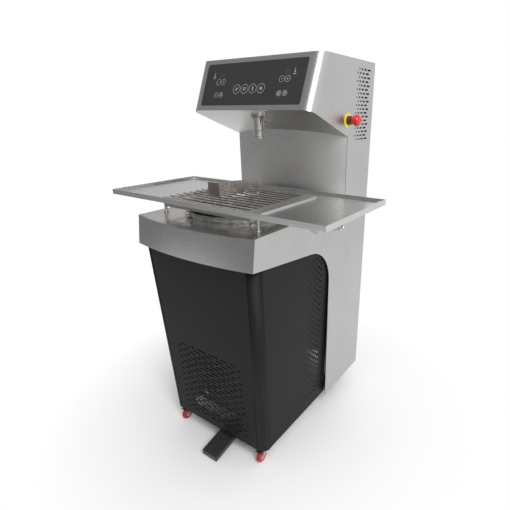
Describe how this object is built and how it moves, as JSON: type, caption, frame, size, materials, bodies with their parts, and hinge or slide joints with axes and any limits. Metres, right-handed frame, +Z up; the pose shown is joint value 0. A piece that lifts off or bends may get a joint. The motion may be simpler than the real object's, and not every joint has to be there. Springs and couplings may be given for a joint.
{
  "type": "chocolate tempering machine",
  "caption": "Floor-standing chocolate tempering machine: heated tank, auger-fed spout, sloping touch-control head, vibrating mould table over the deck, foot pedal and braked casters",
  "frame": {"origin": "on the floor under the middle of the machine's overall width and depth", "axes": "+Z up, +X to the right as the operator faces the machine's back wall, -Y towards the operator (front)"},
  "size_m": [0.954, 0.82, 1.45],
  "materials": {
    "side_steel": "brushed stainless sheet, vertical grain",
    "head_steel": "brushed stainless sheet, darker front faces",
    "column_steel": "fine brushed stainless, bowed column",
    "apron_steel": "brushed stainless band, horizontal grain",
    "deck_steel": "bright brushed stainless deck",
    "cabinet_black": "satin black powder coat",
    "back_steel": "brushed stainless back sheet",
    "frame_zinc": "zinc-plated channel",
    "glass_black": "black touch glass, gloss",
    "stop_yellow": "yellow plate, satin gloss",
    "stop_black": "black collar",
    "stop_red": "red mushroom head, satin gloss",
    "tank_steel": "polished stainless bowl",
    "pipe_steel": "stainless pipe",
    "motor_grey": "grey motor paint",
    "screw_steel": "stainless screw",
    "spout_chrome": "polished stainless spout",
    "clamp_steel": "cast stainless clamp",
    "lever_steel": "turned stainless clamp lever",
    "table_steel": "brushed stainless tray",
    "bar_steel": "ground stainless bar",
    "subframe_steel": "brushed stainless channel",
    "spring_steel": "bright spring wire",
    "grille_steel": "polished round rod",
    "scraper_steel": "cut stainless plate",
    "lock_steel": "polished locking screw",
    "pedal_black": "black powder-coated pedal plate",
    "compressor_black": "black compressor paint",
    "condenser_alu": "aluminium fins",
    "fan_black": "black moulded fan",
    "box_grey": "light grey enclosure",
    "inlet_black": "black appliance inlet",
    "caster_zinc": "zinc-plated pressed steel",
    "tyre_red": "red rubber tread",
    "hub_grey": "light grey moulded hub",
    "brake_black": "black brake lever"
  },
  "bodies": {
    "chassis": {"side_panel_left": "side_steel", "side_panel_right": "side_steel", "head_front": "head_steel", "head_top": "side_steel", "head_underside": "column_steel", "column_front": "column_steel", "front_apron": "apron_steel", "deck_plate": "deck_steel", "lower_cabinet": "cabinet_black", "rear_panel": "back_steel", "rear_door": "back_steel", "base_frame": "frame_zinc", "uprights": "frame_zinc", "control_glass": "glass_black", "stop_plate": "stop_yellow", "stop_collar": "stop_black", "tank": "tank_steel", "transfer_pipe": "pipe_steel", "stir_gearmotor": "motor_grey", "auger_tube": "pipe_steel", "auger_gearmotor": "motor_grey", "delivery_pipe": "pipe_steel", "spout": "spout_chrome", "spout_clamp": "clamp_steel", "spring_posts": "spring_steel", "table_springs": "spring_steel", "pedal_bracket": "frame_zinc", "compressor": "compressor_black", "condenser": "condenser_alu", "fan_shroud": "fan_black", "control_box": "box_grey", "power_inlet": "inlet_black", "caster_plates": "caster_zinc"},
    "table": {"table_tray": "table_steel", "tapping_bar": "bar_steel", "table_subframe": "subframe_steel", "table_vibrator": "motor_grey"},
    "lift_grille": {"grille": "grille_steel"},
    "loose_scraper": {"scraper": "scraper_steel"},
    "lock_screw": {"table_lock": "lock_steel"},
    "pedal": {"foot_pedal": "pedal_black"},
    "stop_head": {"stop_button": "stop_red"},
    "auger": {"auger_screw": "screw_steel"},
    "fan": {"cooling_fan": "fan_black"},
    "stirrer": {"stir_paddle": "tank_steel"},
    "spout_lever": {"clamp_lever": "lever_steel"},
    "swivel_front_left": {"fork_front_left": "caster_zinc"},
    "roller_front_left": {"wheel_front_left": "tyre_red", "hub_front_left": "hub_grey"},
    "swivel_front_right": {"fork_front_right": "caster_zinc"},
    "roller_front_right": {"wheel_front_right": "tyre_red", "hub_front_right": "hub_grey"},
    "swivel_rear_left": {"fork_rear_left": "caster_zinc"},
    "roller_rear_left": {"wheel_rear_left": "tyre_red", "hub_rear_left": "hub_grey"},
    "swivel_rear_right": {"fork_rear_right": "caster_zinc"},
    "roller_rear_right": {"wheel_rear_right": "tyre_red", "hub_rear_right": "hub_grey"},
    "lever_front_left": {"brake_front_left": "brake_black"},
    "lever_front_right": {"brake_front_right": "brake_black"}
  },
  "joints": [
    {"name": "caster_swivel_front_left", "type": "hinge", "parent": "chassis", "child": "swivel_front_left", "pos_m": [-0.211, -0.28, 0.065], "axis": [0, 0, 1], "continuous": true},
    {"name": "wheel_spin_front_left", "type": "hinge", "parent": "swivel_front_left", "child": "roller_front_left", "pos_m": [-0.211, -0.3, 0.025], "axis": [1, 0, 0], "continuous": true},
    {"name": "brake_press_front_left", "type": "hinge", "parent": "swivel_front_left", "child": "lever_front_left", "pos_m": [-0.211, -0.292, 0.0565], "axis": [1, 0, 0], "range_deg": [0, 8]},
    {"name": "caster_swivel_front_right", "type": "hinge", "parent": "chassis", "child": "swivel_front_right", "pos_m": [0.211, -0.28, 0.065], "axis": [0, 0, 1], "continuous": true},
    {"name": "wheel_spin_front_right", "type": "hinge", "parent": "swivel_front_right", "child": "roller_front_right", "pos_m": [0.211, -0.3, 0.025], "axis": [1, 0, 0], "continuous": true},
    {"name": "brake_press_front_right", "type": "hinge", "parent": "swivel_front_right", "child": "lever_front_right", "pos_m": [0.211, -0.292, 0.0565], "axis": [1, 0, 0], "range_deg": [0, 8]},
    {"name": "caster_swivel_rear_left", "type": "hinge", "parent": "chassis", "child": "swivel_rear_left", "pos_m": [-0.211, 0.348, 0.065], "axis": [0, 0, 1], "continuous": true},
    {"name": "wheel_spin_rear_left", "type": "hinge", "parent": "swivel_rear_left", "child": "roller_rear_left", "pos_m": [-0.211, 0.328, 0.025], "axis": [1, 0, 0], "continuous": true},
    {"name": "caster_swivel_rear_right", "type": "hinge", "parent": "chassis", "child": "swivel_rear_right", "pos_m": [0.211, 0.348, 0.065], "axis": [0, 0, 1], "continuous": true},
    {"name": "wheel_spin_rear_right", "type": "hinge", "parent": "swivel_rear_right", "child": "roller_rear_right", "pos_m": [0.211, 0.328, 0.025], "axis": [1, 0, 0], "continuous": true},
    {"name": "pedal_press", "type": "hinge", "parent": "chassis", "child": "pedal", "pos_m": [0.037, -0.23, 0.056], "axis": [1, 0, 0], "range_deg": [0, 2], "stiffness_Nm_per_rad": 12, "springref_deg": -6.88},
    {"name": "stop_push", "type": "slide", "parent": "chassis", "child": "stop_head", "axis": [-1, 0, 0], "range_m": [0, 0.004]},
    {"name": "table_shake", "type": "slide", "parent": "chassis", "child": "table", "axis": [0, 0, 1], "range_m": [-0.003, 0.003], "stiffness_N_per_m": 40000, "springref_m": 0.0025, "deforming": ["table_springs"]},
    {"name": "grille_lift", "type": "slide", "parent": "table", "child": "lift_grille", "axis": [0, 0, 1], "range_m": [0, 0.05]},
    {"name": "scraper_lift", "type": "slide", "parent": "lift_grille", "child": "loose_scraper", "axis": [0, 0, 1], "range_m": [0, 0.08]},
    {"name": "lock_turn", "type": "hinge", "parent": "table", "child": "lock_screw", "pos_m": [0.462, -0.214, 0.9625], "axis": [1, 0, 0], "range_deg": [-90, 40]},
    {"name": "stirrer_spin", "type": "hinge", "parent": "chassis", "child": "stirrer", "pos_m": [0, -0.105, 0.7], "axis": [0, 0, 1], "continuous": true},
    {"name": "auger_spin", "type": "hinge", "parent": "chassis", "child": "auger", "pos_m": [0, 0.26, 0.9], "axis": [0, 0, 1], "continuous": true},
    {"name": "fan_spin", "type": "hinge", "parent": "chassis", "child": "fan", "pos_m": [0, -0.17, 0.2203], "axis": [0, 1, 0], "continuous": true},
    {"name": "clamp_lever_swing", "type": "hinge", "parent": "chassis", "child": "spout_lever", "pos_m": [0.024, 0.007, 1.24], "axis": [0, 0, 1], "range_deg": [-90, 0]}
  ]
}
